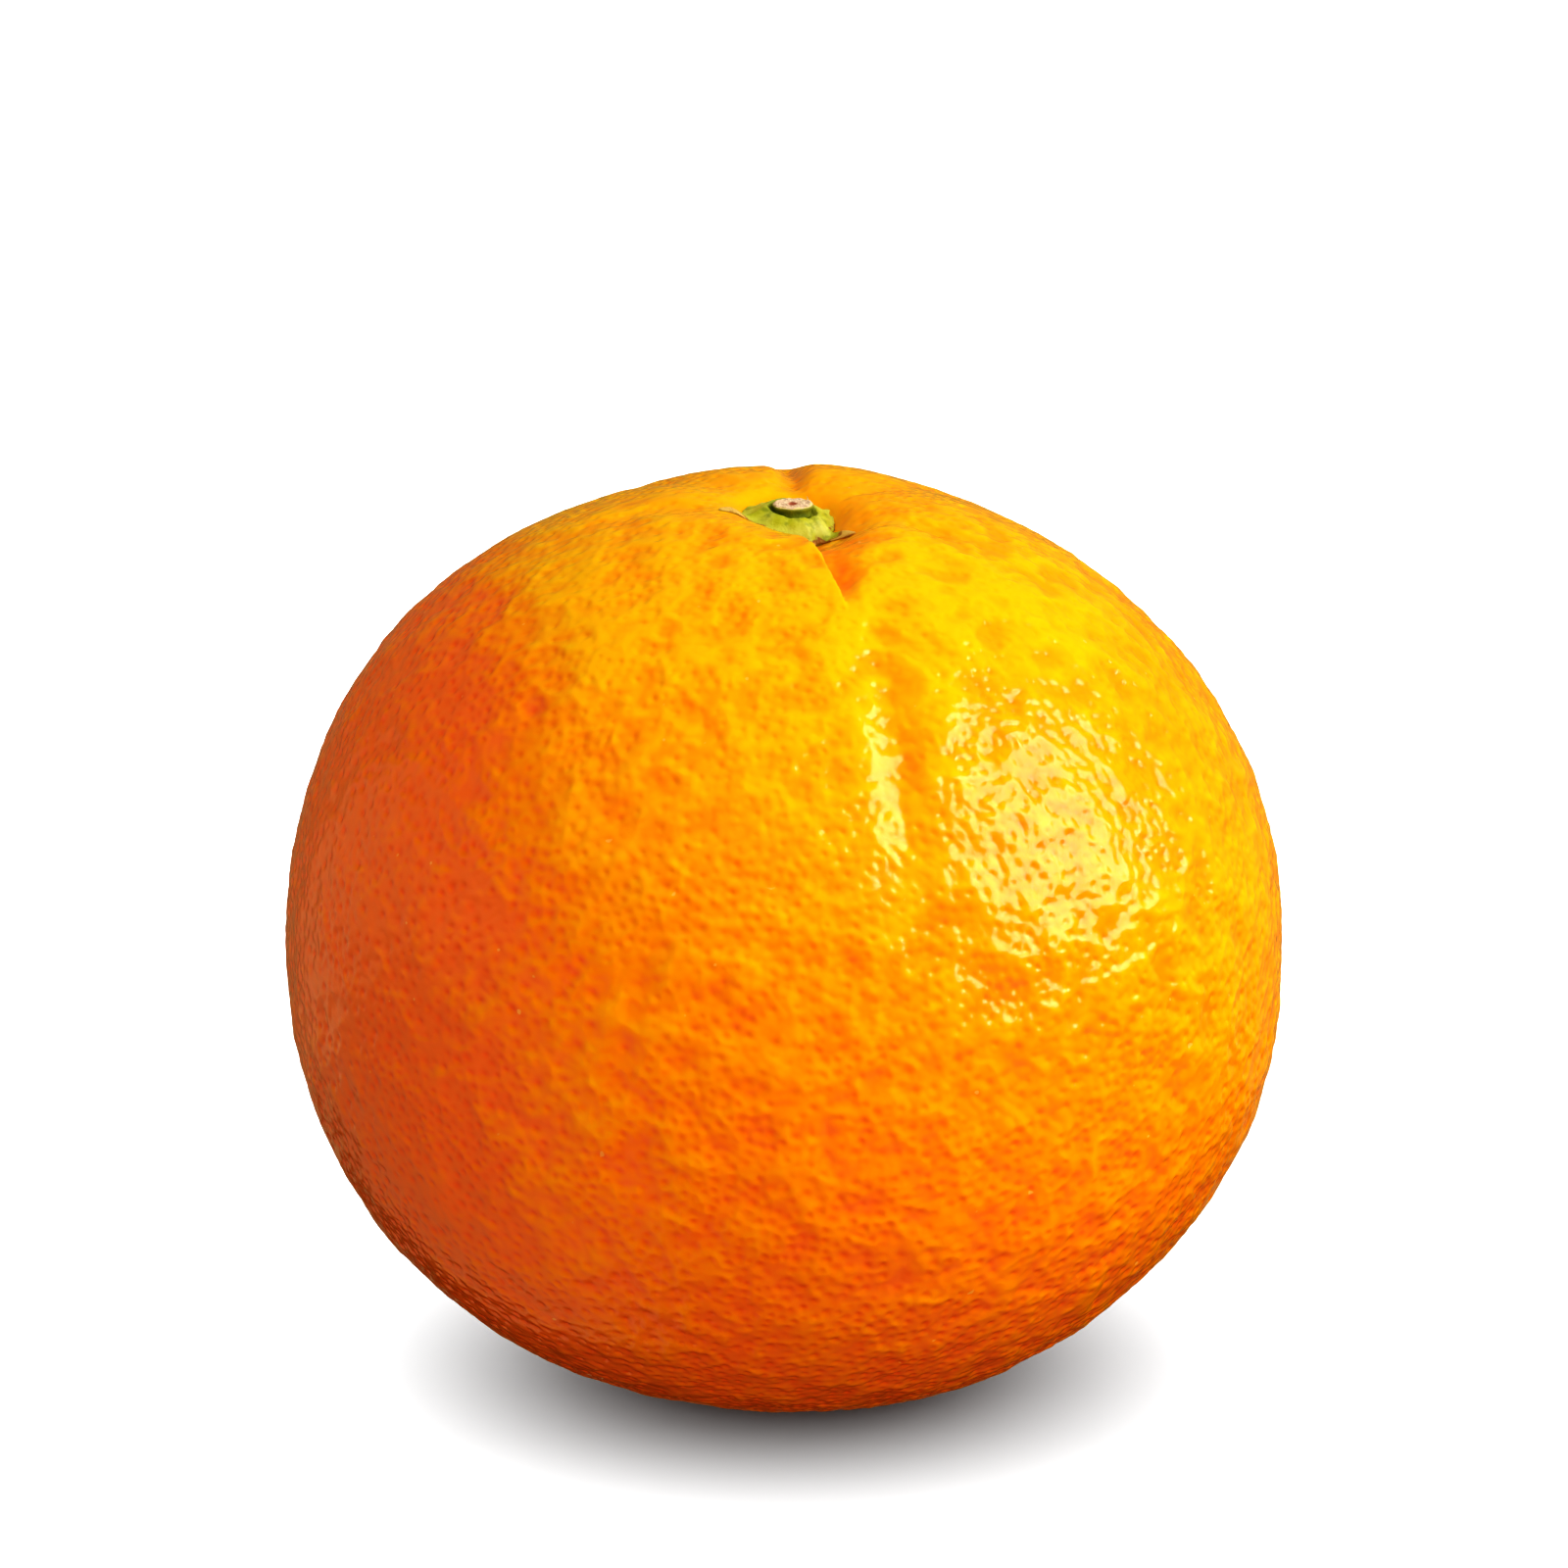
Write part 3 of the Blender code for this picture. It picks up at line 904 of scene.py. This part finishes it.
# %% Stand the torn fibres up
fibres = (
    # azimuth, length in mm, radius at the foot in mm, how far it leans round the edge in degrees
    (38, 0.42, 0.075, 9),
    (46, 0.22, 0.05, -6),
    (28, 0.20, 0.045, 5),
    (8, 0.12, 0.04, -8),
    (118, 0.15, 0.045, 7),
    (-160, 0.12, 0.04, -6),
)
fibre_steps = 6
fibre_curve = bpy.data.curves.new("torn_fibres", "CURVE")
fibre_curve.dimensions = "3D"
# a curve's box counts each point's radius in metres, so the bevel is 1 and the radii are true sizes
fibre_curve.bevel_depth = 1.0
fibre_curve.bevel_resolution = 2
fibre_curve.use_fill_caps = True
for at_azimuth, length, foot_radius, lean in fibres:
    strand = fibre_curve.splines.new("POLY")
    strand.points.add(fibre_steps)
    for step, point in enumerate(strand.points):
        share = step / fibre_steps
        turn = math.radians(at_azimuth + lean * share**2)
        out_here = stub_radius * (0.93 + 0.05 * share)
        up = stub_high[2] + (length * share - 0.12) * mm
        point.co = (stem_x + out_here * math.cos(turn), out_here * math.sin(turn), up, 1)
        point.radius = foot_radius * (1 - 0.85 * share) * mm
torn_fibres = bpy.data.objects.new("torn_fibres", fibre_curve)
bpy.context.scene.collection.objects.link(torn_fibres)
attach(torn_fibres, "root")
print("fibres:", len(fibre_curve.splines))

# %% [markdown]
# ### The stub's finish
#
# The cut has dried to a pale pinkish cream with a red-brown pith, and the bark below the lip is still dark
# green. One material does both, because they share one mesh: a number stored on the points says where the
# cut face is, and another how far a point is from the pith.

# %% Mix the stub's colours
cut_cream = (0.72, 0.60, 0.43)
cut_pink = (0.64, 0.48, 0.35)
pith_red = (0.34, 0.10, 0.05)
fleck_brown = (0.30, 0.19, 0.10)
bark_green = (0.16, 0.20, 0.022)
lip_straw = (0.72, 0.60, 0.28)

stub_finish, nodes, links, shader = finish_named("cut_wood_and_bark")
dryness = spread(nodes, links, blotches(nodes, links, 0.45 * mm, 4.0), 0.38, 0.62)
colour = mixed(nodes, links, dryness, cut_pink, cut_cream)
fleck = spread(nodes, links, blotches(nodes, links, 0.16 * mm, 3.0), 0.54, 0.66, 0.0, 0.75)
colour = mixed(nodes, links, fleck, colour, fleck_brown)
pith_edge = spread(nodes, links, dryness, 0, 1, -0.12, 0.12)
pith_reach = sum_of(nodes, links, stored(nodes, "from_pith"), pith_edge)
colour = mixed(nodes, links, spread(nodes, links, pith_reach, 0.42, 0.12), colour, pith_red)
colour = mixed(nodes, links, spread(nodes, links, pith_reach, 0.86, 0.98), colour, lip_straw)
bark_patch = spread(nodes, links, blotches(nodes, links, 0.6 * mm, 3.0), 0.35, 0.7, 0.0, 0.5)
bark = mixed(nodes, links, bark_patch, bark_green, flesh_green)
colour = mixed(nodes, links, stored(nodes, "cut_face"), bark, colour)
links.new(colour, shader.inputs["Base Color"])
links.new(spread(nodes, links, stored(nodes, "cut_face"), 0, 1, 0.55, 0.85), shader.inputs["Roughness"])
bumped(nodes, links, shader, blotches(nodes, links, 0.12 * mm, 3.0), 0.06 * mm)
stub_mesh.materials.clear()
stub_mesh.materials.append(stub_finish)

fibre_finish, nodes, links, shader = finish_named("dry_fibre")
colour = mixed(nodes, links, blotches(nodes, links, 0.2 * mm), lip_straw, cut_cream)
links.new(colour, shader.inputs["Base Color"])
shader.inputs["Roughness"].default_value = 0.7
fibre_curve.materials.append(fibre_finish)
print("stub finishes ready")

# %% [markdown]
# ## The floor
#
# A product picture of fruit stands on a white sweep, so that nothing but a soft shadow tells where the floor
# is. A large sheet of paper does that. It is part of the stage and not of the orange. White paper would
# catch the orange's warm glow and tint the shadow. A photographer would mask the glow off. Here the paper is
# toned down and the lamp over it is made stronger to match, so that it looks just as pale and its shadow
# stays grey. Its own bounce light is switched off, because the lamps below stand in for it.

# %% Lay the paper
paper_tone = 0.05
floor_mesh = bpy.data.meshes.new("floor")
sheet = bmesh.new()
bmesh.ops.create_grid(sheet, x_segments=1, y_segments=1, size=6.0)
sheet.to_mesh(floor_mesh)
sheet.free()
floor = bpy.data.objects.new("floor", floor_mesh)
bpy.context.scene.collection.objects.link(floor)
floor.visible_diffuse = False
floor.visible_glossy = False

floor_finish, nodes, links, shader = finish_named("floor_paper")
paper_grain = spread(nodes, links, blotches(nodes, links, 0.002), 0.3, 0.7, 0.85, 0.95)
links.new(paper_grain, shader.inputs["Roughness"])
shader.inputs["Base Color"].default_value = (paper_tone, paper_tone, paper_tone, 1)
shader.inputs["Specular IOR Level"].default_value = 0.0
floor_mesh.materials.append(floor_finish)
print("floor is", round(floor.dimensions.x, 1), "m wide")

# %% [markdown]
# ## The light
#
# The key light is a large square softbox close on the right, a little above the fruit. It gives the bright
# patch on the peel and the side light that brings out the pebbling. Wide, weak lamps fill in the rest, as
# white walls would. A white studio could be built round the fruit, but then every wall would show in the
# gloss. Separate lamps can be kept out of the reflections. The rim lamp does the opposite and shows in the
# gloss only: it is the pale room behind, which a glossy skin mirrors along its outline. Light linking lets
# all of them light the orange only, while one wide lamp overhead lights the floor and makes the shadow.

# %% Say what each lamp lights
lit_floor = bpy.data.collections.new("lit_floor")
lit_floor.objects.link(floor)
lit_orange = bpy.data.collections.new("lit_orange")
for piece in bpy.context.scene.objects:
    if piece.type in {"MESH", "CURVE"} and piece is not floor:
        lit_orange.objects.link(piece)
centre = Vector((0, 0, middle[2]))


def hang(name, light, lit, shadow_of):
    """A lamp that lights one collection and is shaded by another."""
    lamp = bpy.data.objects.new(name, light)
    bpy.context.scene.collection.objects.link(lamp)
    lamp.light_linking.receiver_collection = lit
    lamp.light_linking.blocker_collection = shadow_of
    lamp.visible_camera = False
    return lamp


def aim(lamp, way):
    """Turns a lamp to shine from a direction towards the fruit's middle."""
    lamp.rotation_euler = Vector(way).to_track_quat("Z", "Y").to_euler()


# %% Hang the softbox
key_way = Vector((0.83, -0.25, 0.50)).normalized()
key_distance, key_side, key_radiance = 0.5, 0.39, 3.0
key_light = bpy.data.lights.new("key", "AREA")
key_light.shape = "SQUARE"
key_light.size = key_side
key_light.energy = key_radiance * math.pi * key_side**2
key = hang("key", key_light, lit_orange, lit_orange)
key.location = centre + key_way * key_distance
aim(key, key_way)
print("key:", round(key_light.energy, 2), "W")

# %% Hang the wide lamps
warm = (1.0, 0.85, 0.6)
white = (1.0, 1.0, 1.0)
wide_lamps = (
    # name, direction it shines from, width in degrees, strength, colour, whether the gloss shows it
    ("above", (0.0, -0.1, 1.0), 100, 0.98, white, False),
    ("right", (1.0, -0.4, -0.4), 100, 0.72, warm, False),
    ("left", (-1.0, 0.0, -0.45), 100, 0.47, warm, True),
    ("front", (0.0, -1.0, 0.1), 100, 1.35, warm, False),
    ("back", (0.2, 1.0, 0.3), 120, 1.44, warm, False),
    ("below", (0.2, 0.0, -1.0), 120, 0.12, warm, False),
)
for name, way, width, strength, colour, in_gloss in wide_lamps:
    light = bpy.data.lights.new(name, "SUN")
    light.angle = math.radians(width)
    light.energy = strength
    light.color = colour
    lamp = hang(name, light, lit_orange, lit_orange)
    lamp.visible_glossy = in_gloss
    aim(lamp, way)

print("wide lamps:", len(wide_lamps))

# %% Hang the rim lamp and the floor's lamp
# each is a whole sky of light, so its brightness is spread over almost half the ball round the fruit
rim_way, rim_width, rim_radiance = (0.0, 1.0, 1.7), 178, 0.23
rim_warm = (1.0, 0.7, 0.38)
overhead_width, overhead_strength = 172, 78.4

rim = bpy.data.lights.new("rim", "SUN")
rim.angle = math.radians(rim_width)
rim.energy = math.pi * rim_radiance
rim.color = rim_warm
rim_lamp = hang("rim", rim, lit_orange, lit_orange)
rim_lamp.visible_diffuse = False
aim(rim_lamp, rim_way)

overhead = bpy.data.lights.new("overhead", "SUN")
overhead.angle = math.radians(overhead_width)
overhead.energy = overhead_strength
hang("overhead", overhead, lit_floor, lit_orange)
print("the floor gets", round(overhead_strength * paper_tone, 2), "after its tone")

# %% Set the surroundings
world = bpy.data.worlds.new("studio")
bpy.context.scene.world = world
world.use_nodes = True
background = world.node_tree.nodes["Background"]
background.inputs["Color"].default_value = (0.9, 0.9, 0.9, 1)
background.inputs["Strength"].default_value = 1.0
world.cycles_visibility.diffuse = False
world.cycles_visibility.glossy = False
world.cycles_visibility.transmission = False
print("surroundings set")

# %% [markdown]
# ## The camera
#
# The fruit is seen from a little above, through a long lens, which keeps its outline true. A contrasty
# look, like that of a printed picture, is chosen in the scene's colour management, so that the paper goes
# to pure white and the orange stays deep.

# %% Set the camera
looking_down = math.radians(18.5)
camera_distance = 0.75
aim_above_middle = 12.7 * mm
lens_length, film_width = 213.8, 36
camera_data = bpy.data.cameras.new("camera")
camera_data.lens = lens_length
camera_data.sensor_width = film_width
camera = bpy.data.objects.new("camera", camera_data)
bpy.context.scene.collection.objects.link(camera)
back = Vector((0, -math.cos(looking_down), math.sin(looking_down)))
up = Vector((0, math.sin(looking_down), math.cos(looking_down)))
camera.location = centre + back * camera_distance
looking = centre + up * aim_above_middle - camera.location
camera.rotation_euler = looking.to_track_quat("-Z", "Y").to_euler()
bpy.context.scene.camera = camera
bpy.context.scene.view_settings.view_transform = "Standard"
bpy.context.scene.view_settings.look = "Very High Contrast"
print("camera is", camera_distance, "m away")
